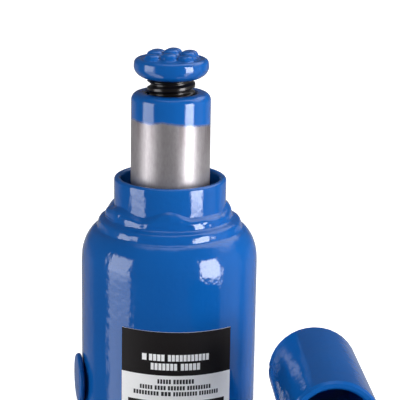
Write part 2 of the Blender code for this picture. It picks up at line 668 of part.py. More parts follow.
def build_pump(steel, copper, rubber):
    """Pump barrel in its boss, and the plunger that rides in it."""
    at = (PUMP_X, PUMP_Y, 0)
    piece("pump_washer", ring(5.4, 7.9, PUMP_SEAT + GAP, WASHER_TOP, SMALL), copper, at)
    foot = WASHER_TOP + GAP
    shoulder = PUMP_BOSS_TOP + GAP
    outline = [(PUMP_BORE, foot), (PUMP_STEM, foot), (PUMP_STEM, shoulder),
               (PUMP_BARREL, shoulder), (PUMP_BARREL, PUMP_TOP - 1.2),
               (PUMP_BARREL - 1.2, PUMP_TOP), (PUMP_BORE, PUMP_TOP), (PUMP_BORE, PACKING_TOP),
               (PACKING_RADIUS, PACKING_TOP), (PACKING_RADIUS, PACKING_BOTTOM),
               (PUMP_BORE, PACKING_BOTTOM)]
    barrel = piece("pump_cylinder", turned(outline), steel, at)
    join(barrel, polygon_bar(PUMP_HEXAGON, 6, shoulder, HEXAGON_TOP), at)
    cut(barrel, rod(PUMP_BORE, foot - 4, PACKING_BOTTOM - 2), at)
    packing = soft_ring(PUMP_BORE, PACKING_RADIUS - GAP, PACKING_BOTTOM + GAP,
                        PACKING_TOP - GAP, SMALL)
    piece("pump_packing", packing, rubber, at)
    stem = [(0, PLUNGER_BOTTOM), (PLUNGER_RADIUS - 0.5, PLUNGER_BOTTOM),
            (PLUNGER_RADIUS, PLUNGER_BOTTOM + 0.6), (PLUNGER_RADIUS, GROOVE_BOTTOM),
            (GROOVE_RADIUS, GROOVE_BOTTOM), (GROOVE_RADIUS, GROOVE_TOP),
            (PLUNGER_RADIUS, GROOVE_TOP), (PLUNGER_RADIUS, EYE_HEIGHT), (0, EYE_HEIGHT)]
    plunger = piece("pump_plunger", turned(stem, 16), steel, at)
    eye = hull_plate([(0, EYE_HEIGHT, 6.4), (0, EYE_HEIGHT - 7.0, 4.9)], -4.6, 4.6)
    join(plunger, eye, at)
    cut(plunger, rod(EYE_HOLE, -8, 8, 16), (PUMP_X, PUMP_Y, EYE_HEIGHT), X_AXIS)
    seal = soft_ring(GROOVE_RADIUS + GAP / 2, PUMP_BORE - GAP / 2, GROOVE_BOTTOM + GAP,
                     GROOVE_TOP - GAP, SMALL)
    piece("plunger_o_ring", seal, rubber, at)


def build_socket(paint):
    """Handle socket tube with the two lugs that carry its pins."""
    back, floor, mouth = -SOCKET_BACK, -SOCKET_FLOOR, -SOCKET_MOUTH
    edge = SOCKET_EDGE
    outline = [(0, back), (SOCKET_RADIUS - edge, back), (SOCKET_RADIUS, back + edge),
               (SOCKET_RADIUS, mouth - edge), (SOCKET_RADIUS - edge, mouth),
               (SOCKET_BORE + edge, mouth), (SOCKET_BORE, mouth - edge),
               (SOCKET_BORE, floor), (0, floor)]
    bm = turned(outline, FINE)
    bmesh.ops.transform(bm, verts=bm.verts, matrix=Matrix.Rotation(math.radians(90), 4, "X"))
    offset = Vector((0, -FULCRUM_Y, SOCKET_Z - FULCRUM_Z)) * MM
    bmesh.ops.translate(bm, verts=bm.verts, vec=offset)
    at = (PUMP_X, FULCRUM_Y, FULCRUM_Z)
    socket = piece("handle_socket", bm, paint, at)
    for side in (-1, 1):
        lug = hull_plate([(FULCRUM_Y, FULCRUM_Z, 6.0), (PIN_Y, PIN_Z, 6.2),
                          (-48.0, LUG_WELD_Z, 2.0), (-62.0, LUG_WELD_Z, 2.0)],
                         side * LUG_INNER, side * LUG_OUTER)
        join(socket, lug, (PUMP_X, 0, 0))
    for y, z in ((FULCRUM_Y, FULCRUM_Z), (PIN_Y, PIN_Z)):
        cut(socket, rod(PIN_HOLE, -16, 16), (PUMP_X, y, z), X_AXIS)
    side_hole = rod(SOCKET_SIDE_HOLE, SOCKET_RADIUS - SIDE_HOLE_DEPTH, SOCKET_RADIUS + 1.0, 20)
    cut(socket, side_hole, (PUMP_X, SIDE_HOLE_Y, SIDE_HOLE_Z), -X_AXIS)


def build_links(steel):
    """Pair of link plates between the base ear and the socket lugs."""
    for side, word in ((-1, "left"), (1, "right")):
        eyes = [(0, 0, LINK_EYE), (FULCRUM_Y - LINK_Y, FULCRUM_Z - LINK_Z, LINK_EYE)]
        plate = hull_plate(eyes, side * LINK_INNER, side * LINK_OUTER)
        link = piece(f"link_plate_{word}", plate, steel, (PUMP_X, LINK_Y, LINK_Z))
        for y, z in ((LINK_Y, LINK_Z), (FULCRUM_Y, FULCRUM_Z)):
            cut(link, rod(PIN_HOLE, -16, 16), (PUMP_X, y, z), X_AXIS)


def build_pin(name, half_length, y, z, steel, spring_steel):
    """Headed clevis pin across the linkage with a retaining clip in its end groove."""
    at = (PUMP_X, y, z)
    outer = half_length + GAP
    groove = outer + GAP
    outline = [(0, -outer - 2.2), (3.4, -outer - 2.2), (4.0, -outer - 1.6), (4.0, -outer),
               (PIN_RADIUS, -outer), (PIN_RADIUS, groove), (PIN_GROOVE, groove),
               (PIN_GROOVE, groove + 1.4), (PIN_RADIUS, groove + 1.4),
               (PIN_RADIUS, groove + 2.4), (2.0, groove + 3.0), (0, groove + 3.0)]
    piece(name, turned(outline, SMALL), steel, at, X_AXIS)
    clip = ring(PIN_GROOVE + GAP, 4.4, groove + GAP, groove + 1.1, SMALL)
    piece(f"{name}_clip", clip, spring_steel, at, X_AXIS)


# ---------------------------------------------------------------- assembly

def build_jack():
    blue = surface("blue_paint", (0.012, 0.09, 0.36), 0.25)
    steel = surface("bright_steel", (0.62, 0.62, 0.61), 0.3, 1.0)
    dark_steel = surface("black_oxide_steel", (0.03, 0.03, 0.032), 0.4, 0.8)
    rubber = surface("black_rubber", (0.02, 0.02, 0.02), 0.6)
    plug_rubber = surface("blue_rubber", (0.012, 0.09, 0.33), 0.35)
    nylon = surface("white_nylon", (0.8, 0.79, 0.74), 0.5)
    copper = surface("copper", (0.7, 0.32, 0.2), 0.35, 1.0)
    brass = surface("brass", (0.72, 0.55, 0.25), 0.35, 1.0)
    paper = surface("label_film", (0.78, 0.79, 0.8), 0.4)
    build_base(blue)
    build_valves(steel, brass)
    build_release_valve(steel, rubber)
    build_tank(blue, plug_rubber)
    build_label(paper)
    build_cylinder(blue, steel, copper, rubber)
    build_ram(steel, rubber, nylon)
    build_screw(dark_steel, blue, steel)
    build_pump(steel, copper, rubber)
    build_socket(blue)
    build_links(steel)
    build_pin("link_pin", LINK_OUTER, LINK_Y, LINK_Z, steel, dark_steel)
    build_pin("lever_pin", LINK_OUTER, FULCRUM_Y, FULCRUM_Z, steel, dark_steel)
    build_pin("plunger_pin", LUG_OUTER, PIN_Y, PIN_Z, steel, dark_steel)


for leftover in list(bpy.data.objects):
    bpy.data.objects.remove(leftover, do_unlink=True)
build_jack()
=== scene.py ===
"""Looks of the hydraulic bottle jack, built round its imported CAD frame.

Shapes are drawn in millimetres in the frame's own axes: the ram axis is Z, the ground is
z = 0 and the handle socket opens towards -Y. The mesh builders turn them into metres.
Outlines are lists of (radius, height) points, angles are in degrees, and colours are linear.
The sizes of noise textures are in cells per metre.
"""
import json
import math

import bmesh
import bpy
from mathutils import Matrix, Vector
from mathutils.noise import noise as noise_value


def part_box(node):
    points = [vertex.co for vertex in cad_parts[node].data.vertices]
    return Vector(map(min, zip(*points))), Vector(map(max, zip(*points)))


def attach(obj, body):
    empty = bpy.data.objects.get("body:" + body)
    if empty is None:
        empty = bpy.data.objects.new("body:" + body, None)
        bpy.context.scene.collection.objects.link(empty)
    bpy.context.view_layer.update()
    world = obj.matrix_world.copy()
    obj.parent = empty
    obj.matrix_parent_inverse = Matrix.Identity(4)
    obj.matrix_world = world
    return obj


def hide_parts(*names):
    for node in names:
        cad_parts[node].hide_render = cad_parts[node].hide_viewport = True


MM = 0.001
TINY = 1e-7                    # metres; points closer than this are one point
INSIDE = 0.01                  # how far shaped pieces stay inside the CAD's own size
ROUND = 128                    # sides of the large round pieces
FINE_ROUND = 2 * ROUND         # sides of the round pieces with shaped surfaces
SMALL_ROUND = 64
SHARP = 40                     # corners sharper than this are not shaded smoothly
Z_AXIS = Vector((0, 0, 1))

# Camera: its place, its turns to the right, down and round its view, its lens and sensor
CAMERA_AT = (-28.9, -524.7, 304.2)
CAMERA_YAW, CAMERA_PITCH, CAMERA_ROLL = 4.27, 15.05, 0.905
CAMERA_LENS, CAMERA_SENSOR = 143.45, 36.0

# Enamel; the heights are multiples of the orange peel's height
BLUE = (0.004, 0.108, 0.405)
BLUE_THICK = (0.003, 0.094, 0.365)
PATCH_SIZE, SWELL_SIZE, SAG_SIZE, GRAIN_SIZE = 38.0, 70.0, 330.0, 620.0
SWELL_HEIGHT, SAG_HEIGHT = 3.4, 0.9

# Bare and blackened steel, and rubber
RAM_STEEL = (0.41, 0.385, 0.39)
RAM_STAIN = (0.33, 0.295, 0.30)
RAM_SPECKLE = (0.24, 0.215, 0.22)
RAM_RUN = (0.13, 0.09, 0.09)
OXIDE_BLACK = (0.013, 0.010, 0.009)
OXIDE_WORN = (0.10, 0.09, 0.08)
RUBBER_BLACK = (0.015, 0.015, 0.016)

# Lower edge of the ram's sprayed band
PAINT_LINE = 190.1             # height of its lowest possible point on the axis
PAINT_WAVE = 3.2               # height of its waves
PAINT_FEATHER = 0.6            # half width of the soft edge
PAINT_RUNS = 11.0              # how far dark runs reach down below it
PAINT_LEAN = -0.07             # rise for each millimetre to the right
PAINT_SAG = -7.0               # rise for the square of the distance to the right, per metre

# Ram
RAM_RADIUS, RAM_EDGE = 13.45, 2.6
RAM_SPIGOT = 9.0               # radius of the foot that carries the seals
RAM_FLANGE = (12.4, 17.9)      # foot and top of the flange above the ram's lowest point
RAM_HOLE, RAM_HOLE_EDGE = 8.45, 0.9
RAM_BORE = 9.45                # radius of the relieved bore below the hole
RAM_BORE_TOP, RAM_BORE_FOOT, RAM_BORE_POINT = 184.3, 110.0, 106.0

# Extension screw
THREAD_ROOT, THREAD_CREST, THREAD_PITCH = 6.9, 8.09, 3.0
THREAD_FOOT, THREAD_TOP = 141.5, 204.9
THREAD_FULLNESS = 1.35         # above 1, the crests are flattened
SHANK_RADIUS, SHANK_TOP = 6.0, 143.5

# Saddle: its rim's outline is made of the underside, the widest point and the upper side
SADDLE_HOLE = 6.35
SADDLE_UNDER = ((9.8, 205.5), (11.6, 206.7), (12.5, 208.2))
SADDLE_WIDEST = 209.3
SADDLE_UPPER = ((12.5, 210.6), (12.1, 211.3), (11.4, 211.75))
SADDLE_EDGE, SADDLE_FACE = 10.6, 211.85    # radius and height where rim and face meet
SADDLE_BLEND = 0.7             # width over which the rim runs into the face
SADDLE_ROWS = 48               # rings of points on the face
SADDLE_VALLEY = 1.55           # depth of the channels below the tops of the knobs
KNOB_SPACING, KNOB_REACH, KNOB_TURN = 5.65, 2.85, -11.0
KNOB_SHOULDER = 2.8            # larger values give flatter knobs with steeper sides
KNOB_FALL = 0.0176             # drop of a knob's top for each square millimetre outwards

# Tank: outside from the start of the shoulder over both weld ridges, and inside going down
TANK_FOOT_EDGE = (0.5, 0.6)    # width and height of the broken edge at the foot
TANK_STRAIGHT = 80.0           # height of a ring that holds the straight side
TANK_SIDE = ((0.0, 134.0), (0.0, 138.0), (0.02, 142.0))    # (inwards from the side, height)
TANK_SHOULDER = ((29.95, 145.0), (29.5, 147.3), (28.5, 150.0), (27.0, 152.3), (26.0, 153.3),
                 (25.3, 153.7), (24.85, 154.1), (24.6, 154.8), (24.4, 155.6), (24.1, 156.3),
                 (23.6, 156.8), (22.9, 157.1), (22.1, 157.4), (21.5, 157.8), (21.25, 158.4),
                 (21.1, 159.3), (20.9, 160.1), (20.4, 160.9), (19.8, 161.5), (19.05, 162.2))
TANK_INSIDE = ((19.05, 156.0), (19.4, 153.4), (24.6, 151.4), (27.2, 147.0), (28.35, 142.0))

# Weld: where each effect starts and the distance over which it grows to its full strength
WELD_LUMPS_FROM = (152.0, 2.0)             # height
WELD_RIDGE_FROM = (157.4, 1.2)             # height
WELD_EDGE_FROM = (158.5, 3.0)              # height
WELD_NECK_FROM = (19.05, 1.2)              # radius
INNER_WALL_REACH, INNER_WALL_TOP = 22.0, 156.1         # the wall inside these keeps its shape
WELD_LUMPS = ((0.20, 0.10, 1.7), (0.14, 0.16, 4.1))    # (height, share of z, fineness)
LUMP_CIRCLE = 2.2              # radius of the circle on which the lumps' noise is read
# How far the weld's top edge rises above its level, round the axis as (degrees, rise)
WELD_EDGE = ((-173, -0.4), (-153, 0.6), (-122, -1.0), (-93, 1.5), (-71, -0.6), (-33, -1.0),
             (0, 0.2), (48, 0.8), (96, -0.5), (140, 0.6), (187, -0.4))
# How far the weld's upper ridge bulges out, round the axis as (degrees, bulge)
WELD_BULGE = ((-195, 0.3), (-173, 1.0), (-140, 0.25), (-100, 0.0), (-60, 0.1), (-10, 0.0),
              (60, 0.3), (120, -0.1), (165, 0.3))

# Neck
CYLINDER_BORE, NECK_BORE, NECK_FLOOR, NECK_LIP = 14.5, 16.7, 151.1, 1.04

# Filler plug, with heights measured outwards from the ram axis
PLUG_HEIGHT = 99.8
PLUG_HOLE, PLUG_HOLE_SPAN = 4.9, (20, 40)
PLUG_STEM = ((0, 24.6), (3.8, 24.6), (4.6, 26.0), (4.6, 30.45))
PLUG_HEAD = ((7.7, 30.45), (8.35, 30.55), (8.68, 30.9), (8.68, 31.5), (8.3, 32.05),
             (7.2, 32.3), (4.0, 32.48), (1.6, 32.56))
PLUG_CROWN = (0, 32.58)

# Label: angles are measured from its middle, and a slot is a place in its list of finishes
LABEL_OUTER, LABEL_INNER = 30.53, 30.31
LABEL_MIDDLE, LABEL_HALF = -87.0, 36.6
LABEL_LEAN = -0.0137           # rise of the label for each degree to the right
LABEL_HEAD_MARGIN, LABEL_FOOT_MARGIN = 0.5, 0.6        # room for the lean
LABEL_COLUMNS = 40
WHITE_SLOT, BLACK_SLOT, GREY_SLOT = 0, 1, 2
HEADING_FOOT = 110.5
BOX_FOOT, BOX_TOP, BOX_HALF = 6.0, 101.4, 32.0         # the foot is above the label's own
BOX_ROWS, BOX_ROW_FOOT, BOX_ROW_PITCH, BOX_ROW_TALL = 7, 11.0, 5.6, 1.5
BOX_ROW_HALF, BOX_ROW_INDENT = 26.0, 6.0
HEADING_PITCH, NOTE_PITCH, BOX_PITCH = (2.45, 0.55), (1.75, 0.5), (5.2, 0.6)   # (pitch, gap)
# Print on the label: rows of plain blocks as (top, foot, spans of degrees)
HEADING_ROWS = (
    (117.9, 115.6, ((-22.7, -19.8), (-18.2, -8.5), (-6.4, 20.0))),
    (114.8, 112.4, ((-17.1, -0.6), (1.7, 14.1))),
)
NOTE_ROWS = (
    (109.2, 107.6, ((-12.8, -4.4), (-2.8, 10.2))),
    (106.9, 105.4, ((-24.0, -16.0), (-14.5, -7.6), (-6.2, 4.4), (6.0, 21.5))),
    (104.8, 103.3, ((-28.2, -12.0), (-10.4, -4.4), (-2.8, 12.4), (13.8, 27.0))),
)

# Stage, in metres: the sweep's profile from front to back, and half its width
SWEEP_PROFILE = ((-3.0, 0.0), (2.2, 0.0), (2.8, 0.08), (3.2, 0.35), (3.35, 0.9), (3.4, 3.5))
SWEEP_HALF = 5.0
SWEEP_DROP = 0.0005            # keeps the floor just under the foot
SWEEP_GLOW = 0.55

# Light panels as (left, right, soft edge, ((elevation, brightness), ...)), in degrees, with
# left and right counted from the front towards the right
REAR_PANEL = (92, 158, 12.0, ((22, 0.0), (38, 2.0), (66, 2.0), (82, 0.0)))
SIDE_PANEL = (72, 104, 8.0, ((-30, 0.4), (30, 0.4), (60, 0.0)))
FILL_PANEL = (-87, -51, 2.5, ((-19, 2.2), (-14, 3.6), (-8, 5.4), (20, 5.4), (27, 0.0)))
KEY_PANEL = (42, 69, 2.0, ((-19, 3.4), (-14, 7.0), (-8, 15.0), (22, 15.0), (29, 0.0)))
FRONT_TURN = 3.15              # how far the lights' front is turned from -Y
STUDIO_TINT = (0.96, 0.97, 1.0)
ROOM = 0.11                    # brightness of the dim room
BACK_WALL = 0.38               # brightness of the room's far wall
BACK_WALL_TOP = (-10, 6)       # elevations between which the wall fades out
BACK_WALL_SIDE = (-0.62, -0.34)            # directions' shares to the front, far wall and none
CEILING = 1.5
CEILING_EDGE = (58, 85)        # elevations between which the ceiling comes up


def extent(node):
    """(low, high) corners of a CAD node in millimetres."""
    low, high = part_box(node)
    return low / MM, high / MM


def joint_axis(joint_name):
    """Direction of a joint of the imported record."""
    for joint in frame["record"]["behaviour"]["joints"]:
        if joint["name"] == joint_name:
            return Vector(joint["axis"])
    raise ValueError(joint_name)


# ---------------------------------------------------------------- mesh builders

def arc(centre_r, centre_z, radius, start, end, steps):
    """Points of a circular arc in an outline, angles from +r towards +z."""
    points = []
    for step in range(steps + 1):
        angle = math.radians(start + (end - start) * step / steps)
        points.append((centre_r + radius * math.cos(angle), centre_z + radius * math.sin(angle)))
    return points


def flowing(points, per_span=5):
    """Catmull-Rom curve through outline points, keeping both ends."""
    padded = [points[0], *points, points[-1]]
    curve = []
    for index in range(1, len(padded) - 2):
        before, start, end, after = (Vector(padded[index + k]) for k in (-1, 0, 1, 2))
        for step in range(per_span):
            t = step / per_span
            point = 0.5 * (2 * start + (end - before) * t
                           + (2 * before - 5 * start + 4 * end - after) * t ** 2
                           + (3 * start - before - 3 * end + after) * t ** 3)
            curve.append(tuple(point))
    curve.append(tuple(points[-1]))
    return curve


def point_at(bm, radius, angle, height):
    """Mesh point at a radius, an angle in radians and a height."""
    return bm.verts.new((radius * math.cos(angle) * MM, radius * math.sin(angle) * MM,
                         height * MM))


def ring_of(bm, radius, heights):
    """Ring of mesh points about Z, one for each height; one height alone makes a pole."""
    count = len(heights)
    return [point_at(bm, radius, math.tau * side / count, height)
            for side, height in enumerate(heights)]


def join_rings(bm, ring, other, sides):
    """Faces between two rings, either of which may be a pole."""
    for side in range(sides):
        after = (side + 1) % sides
        corners = [ring[side % len(ring)], ring[after % len(ring)],
                   other[after % len(other)], other[side % len(other)]]
        bm.faces.new(list(dict.fromkeys(corners)))


def turned(outline, sides=ROUND):
    """Mesh turned about Z from an outline; a point at radius 0 is a pole.

    An outline that starts on the axis also ends there, and any other closes on itself.
    """
    bm = bmesh.new()
    rings = [ring_of(bm, radius, [height] * (1 if radius == 0 else sides))
             for radius, height in outline]
    has_poles = outline[0][0] == 0
    following = rings[1:] if has_poles else rings[1:] + rings[:1]
    for ring, other in zip(rings, following):
        join_rings(bm, ring, other, sides)
    return bm


def threaded_bar(root, crest, pitch, start, end, sides=SMALL_ROUND):
    """Rounded right-hand thread whose ridge fades out at both ends."""
    bm = bmesh.new()
    levels = 12                # points up each turn
    turns = int((end - start) / pitch) + 2
    fade_in, fade_out = 0.5 * pitch, 0.25 * pitch
    columns = []
    for side in range(sides):
        angle = math.tau * side / sides
        lead = pitch * side / sides
        column = []
        for step in range(-levels, turns * levels):
            height = min(max(start + pitch * step / levels + lead, start), end)
            wave = 0.5 - 0.5 * math.cos(math.tau * step / levels)
            fade = min(1.0, (height - start) / fade_in, (end - height) / fade_out)
            reach = root + (crest - root) * min(1.0, THREAD_FULLNESS * wave) * fade
            column.append(point_at(bm, reach, angle, height))
        columns.append(column)
    for side, column in enumerate(columns):
        other = columns[(side + 1) % sides]
        shift = levels if side == sides - 1 else 0
        for index in range(len(column) - 1 - shift):
            bm.faces.new((column[index], other[index + shift],
                          other[index + 1 + shift], column[index + 1]))
    bmesh.ops.remove_doubles(bm, verts=bm.verts, dist=TINY)
    bmesh.ops.dissolve_degenerate(bm, edges=bm.edges, dist=TINY)
    bmesh.ops.holes_fill(bm, edges=bm.edges)
    return bm


def mesh_from(bm, name):
    """Finished mesh from a mesh under construction, with its faces turned outwards."""
    bmesh.ops.recalc_face_normals(bm, faces=bm.faces)
    mesh = bpy.data.meshes.new(name)
    bm.to_mesh(mesh)
    bm.free()
    return mesh


def add_object(name, data):
    """New object in the scene."""
    made = bpy.data.objects.new(name, data)
    bpy.context.scene.collection.objects.link(made)
    return made


def shade(mesh, sharp=SHARP):
    """Smooth shading except at corners."""
    mesh.shade_smooth()
    mesh.set_sharp_from_angle(angle=math.radians(sharp))


def stand_along(made, at, along):
    """Places an object and turns its Z axis along a direction."""
    made.location = Vector(at) * MM
    made.rotation_euler = Z_AXIS.rotation_difference(Vector(along)).to_euler()


def piece(name, bm, finish, body, replaced=(), at=(0, 0, 0), along=Z_AXIS, sharp=SHARP):
    """Shown object from a mesh, riding on a CAD body and standing for CAD nodes."""
    mesh = mesh_from(bm, name)
    mesh.materials.append(finish)
    shade(mesh, sharp)
    made = add_object(name, mesh)
    stand_along(made, at, along)
    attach(made, body)
    if replaced:
        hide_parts(*replaced)
    return made


# ---------------------------------------------------------------- materials

def plain(name, colour, roughness, metallic=0.0, coat=0.0, coat_roughness=0.03):
    """Principled material with its node tree, shader and object coordinates."""
    made = bpy.data.materials.new(name)
    made.use_nodes = True
    tree = made.node_tree
    shader = tree.nodes["Principled BSDF"]
    shader.inputs["Base Color"].default_value = (*colour, 1.0)
    shader.inputs["Roughness"].default_value = roughness
    shader.inputs["Metallic"].default_value = metallic
    shader.inputs["Coat Weight"].default_value = coat
    shader.inputs["Coat Roughness"].default_value = coat_roughness
    made.diffuse_color = (*colour, 1.0)
    coordinates = tree.nodes.new("ShaderNodeTexCoord")
    return made, tree, shader, coordinates.outputs["Object"]


def glow(shader, strength):
    """White light of a surface's own."""
    shader.inputs["Emission Color"].default_value = (1.0, 1.0, 1.0, 1.0)
    shader.inputs["Emission Strength"].default_value = strength


def noise(tree, coordinates, scale, detail=2.0, roughness=0.5, stretch=(1, 1, 1)):
    """Noise value over object coordinates; a small stretch draws it out along that axis."""
    mapping = tree.nodes.new("ShaderNodeMapping")
    mapping.inputs["Scale"].default_value = stretch
    texture = tree.nodes.new("ShaderNodeTexNoise")
    texture.inputs["Scale"].default_value = scale
    texture.inputs["Detail"].default_value = detail
    texture.inputs["Roughness"].default_value = roughness
    tree.links.new(coordinates, mapping.inputs["Vector"])
    tree.links.new(mapping.outputs["Vector"], texture.inputs["Vector"])
    return texture.outputs["Fac"]


def spread(tree, value, between, onto=(0.0, 1.0), smooth=False):
    """Value mapped from one range onto another and clamped, in a line or a smooth step."""
    node = tree.nodes.new("ShaderNodeMapRange")
    if smooth:
        node.interpolation_type = "SMOOTHSTEP"
    for socket, number in zip(("From Min", "From Max", "To Min", "To Max"), (*between, *onto)):
        node.inputs[socket].default_value = number
    tree.links.new(value, node.inputs["Value"])
    return node.outputs["Result"]


def blend_colour(tree, factor, first, second):
    """Colour between two colours or colour outputs."""
    node = tree.nodes.new("ShaderNodeMix")
    node.data_type = "RGBA"
    tree.links.new(factor, node.inputs["Factor"])
    for socket, colour in ((node.inputs[6], first), (node.inputs[7], second)):
        if isinstance(colour, tuple):
            socket.default_value = (*colour, 1.0)
        else:
            tree.links.new(colour, socket)
    return node.outputs[2]


def arithmetic(tree, operation, *values):
    """Maths node on numbers or outputs."""
    node = tree.nodes.new("ShaderNodeMath")
    node.operation = operation
    for socket, value in zip(node.inputs, values):
        if isinstance(value, (int, float)):
            socket.default_value = value
        else:
            tree.links.new(value, socket)
    return node.outputs[0]


def add_share(tree, total, value, share):
    """Total with a share of a value added to it."""
    return arithmetic(tree, "ADD", total, arithmetic(tree, "MULTIPLY", value, share))


def bump(tree, shader, height, distance, coat=False):
    """Surface relief from a height value, with the distance in metres."""
    node = tree.nodes.new("ShaderNodeBump")
    node.inputs["Distance"].default_value = distance
    tree.links.new(height, node.inputs["Height"])
    tree.links.new(node.outputs["Normal"], shader.inputs["Normal"])
    if coat:
        tree.links.new(node.outputs["Normal"], shader.inputs["Coat Normal"])


def enamel(name, peel=0.00009, peel_size=520.0, grain=0.0, roughness=0.07, specular=0.5):
    """Gloss blue enamel with orange peel, slow swells and thicker and thinner patches.

    The peel is its height in metres, and the grain of a casting is a multiple of that.
    """
    made, tree, shader, coordinates = plain(name, BLUE, roughness)
    patches = noise(tree, coordinates, PATCH_SIZE, detail=3.0)
    colour = blend_colour(tree, spread(tree, patches, (0.3, 0.7)), BLUE_THICK, BLUE)
    tree.links.new(colour, shader.inputs["Base Color"])
    peel_value = noise(tree, coordinates, peel_size, detail=1.0, roughness=0.4)
    swell = noise(tree, coordinates, SWELL_SIZE, detail=1.0, roughness=0.4)
    sags = noise(tree, coordinates, SAG_SIZE, stretch=(1.0, 1.0, 0.05))
    height = add_share(tree, peel_value, swell, SWELL_HEIGHT)
    height = add_share(tree, height, sags, SAG_HEIGHT)
    if grain:
        rough_cast = noise(tree, coordinates, GRAIN_SIZE, detail=4.0, roughness=0.65)
        height = add_share(tree, height, rough_cast, grain)
    bump(tree, shader, height, peel)
    uneven = spread(tree, patches, (0.3, 0.7), (roughness, roughness + 0.05))
    tree.links.new(uneven, shader.inputs["Roughness"])
    shader.inputs["Specular IOR Level"].default_value = specular
    return made


def turned_steel(name, colour, roughness, marks_size, axis=2):
    """Machined steel with fine turning marks round an axis, faint stains and uneven polish."""
    made, tree, shader, coordinates = plain(name, colour, roughness, metallic=1.0)
    stretch = [0.02, 0.02, 0.02]
    stretch[axis] = 1.0
    lines = noise(tree, coordinates, marks_size, 4.0, 0.6, tuple(stretch))
    stains = noise(tree, coordinates, 55.0, detail=5.0, roughness=0.6)
    darker = tuple(0.72 * value for value in colour)
    stained = blend_colour(tree, spread(tree, stains, (0.45, 0.75), (0.0, 0.55)), colour, darker)
    tree.links.new(stained, shader.inputs["Base Color"])
    polish = spread(tree, lines, (0.3, 0.7), (roughness - 0.07, roughness + 0.1))
    tree.links.new(polish, shader.inputs["Roughness"])
    bump(tree, shader, lines, 0.000004)
    return made


def paint_edge(tree, coordinates):
    """Height above the wavy lower edge of the ram's sprayed band, in metres."""
    parts = tree.nodes.new("ShaderNodeSeparateXYZ")
    tree.links.new(coordinates, parts.inputs[0])
    across, height = parts.outputs["X"], parts.outputs["Z"]
    wave = noise(tree, coordinates, 120.0, stretch=(1, 1, 0.25))
    edge = arithmetic(tree, "MULTIPLY", across, PAINT_LEAN)
    edge = add_share(tree, edge, arithmetic(tree, "MULTIPLY", across, across), PAINT_SAG)
    edge = add_share(tree, edge, wave, PAINT_WAVE * MM)
    edge = arithmetic(tree, "ADD", edge, PAINT_LINE * MM)
    return arithmetic(tree, "SUBTRACT", height, edge)


def ram_finish():
    """Ground steel with a sprayed blue band at the top that ends in a wavy feathered edge."""
    made, tree, shader, coordinates = plain("ram_ground_steel", RAM_STEEL, 0.45, metallic=0.6)
    above = paint_edge(tree, coordinates)
    feather = PAINT_FEATHER * MM
    painted = spread(tree, above, (-feather, feather))
    lines = noise(tree, coordinates, 1100.0, 3.0, 0.6, (1.0, 1.0, 0.03))
    speckle = noise(tree, coordinates, 1500.0, 3.0, 0.6, (1.0, 1.0, 0.35))
    stains = noise(tree, coordinates, 60.0, 5.0, 0.6, (1, 1, 0.5))
    runs = noise(tree, coordinates, 230.0, stretch=(1.0, 1.0, 0.08))
    bare = blend_colour(tree, spread(tree, stains, (0.4, 0.75), (0.0, 0.6)), RAM_STEEL, RAM_STAIN)
    bare = blend_colour(tree, spread(tree, speckle, (0.35, 0.7), (0.0, 0.4)), bare, RAM_SPECKLE)
    near_paint = spread(tree, above, (-PAINT_RUNS * MM, 0.0), (0.0, 0.8))
    marked = arithmetic(tree, "MULTIPLY", near_paint, spread(tree, runs, (0.5, 0.68)))
    bare = blend_colour(tree, marked, bare, RAM_RUN)
    tree.links.new(blend_colour(tree, painted, bare, BLUE), shader.inputs["Base Color"])
    metal = spread(tree, painted, (0.0, 1.0), (0.6, 0.0))
    tree.links.new(metal, shader.inputs["Metallic"])
    brushed = spread(tree, lines, (0.3, 0.7), (0.36, 0.47))
    glossier = add_share(tree, brushed, painted, -0.31)
    tree.links.new(glossier, shader.inputs["Roughness"])
    peel = noise(tree, coordinates, 300.0, detail=1.0, roughness=0.45)
    relief = arithmetic(tree, "ADD", arithmetic(tree, "MULTIPLY", lines, 0.05),
                        arithmetic(tree, "MULTIPLY", painted, peel))
    bump(tree, shader, relief, 0.00004)
    return made


def oiled_black(name):
    """Black oxide steel with an oily sheen."""
    made, tree, shader, coordinates = plain(name, OXIDE_BLACK, 0.3, metallic=0.6, coat=0.5,
                                            coat_roughness=0.15)
    wear = noise(tree, coordinates, 420.0, detail=4.0, roughness=0.6)
    worn = spread(tree, wear, (0.6, 0.8), (0.0, 0.35))
    tree.links.new(blend_colour(tree, worn, OXIDE_BLACK, OXIDE_WORN), shader.inputs["Base Color"])
    bump(tree, shader, wear, 0.00002, coat=True)
    return made


def rubber(name):
    """Moulded rubber with a fine skin."""
    made, tree, shader, coordinates = plain(name, RUBBER_BLACK, 0.55)
    skin = noise(tree, coordinates, 1400.0, detail=3.0, roughness=0.6)
    tree.links.new(spread(tree, skin, (0.3, 0.7), (0.45, 0.68)), shader.inputs["Roughness"])
    bump(tree, shader, skin, 0.00001)
    return made


def film(name, colour, roughness=0.55, painted_glow=0.0):
    """Matt printed film with a faint print grain and soft ripples where it is stuck down. It can
    be given a painted glow of its own, which no lamp gives.
    """
    made, tree, shader, coordinates = plain(name, colour, roughness)
    glow(shader, painted_glow)
    shader.inputs["Specular IOR Level"].default_value = 0.12
    grain = noise(tree, coordinates, 2400.0)
    faded = tuple(min(1.0, 0.93 * value + 0.003) for value in colour)
    printed = blend_colour(tree, spread(tree, grain, (0.3, 0.7)), colour, faded)
    tree.links.new(printed, shader.inputs["Base Color"])
    bump(tree, shader, noise(tree, coordinates, 60.0), 0.00004)
    return made


# ---------------------------------------------------------------- lifting column

def knob_centres():
    """Centres of the three by three grid of knobs on the saddle."""
    turn = math.radians(KNOB_TURN)
    centres = []
    for row in (-1, 0, 1):
        for column in (-1, 0, 1):
            x, y = column * KNOB_SPACING, row * KNOB_SPACING
            centres.append((x * math.cos(turn) - y * math.sin(turn),
                            x * math.sin(turn) + y * math.cos(turn)))
    return centres


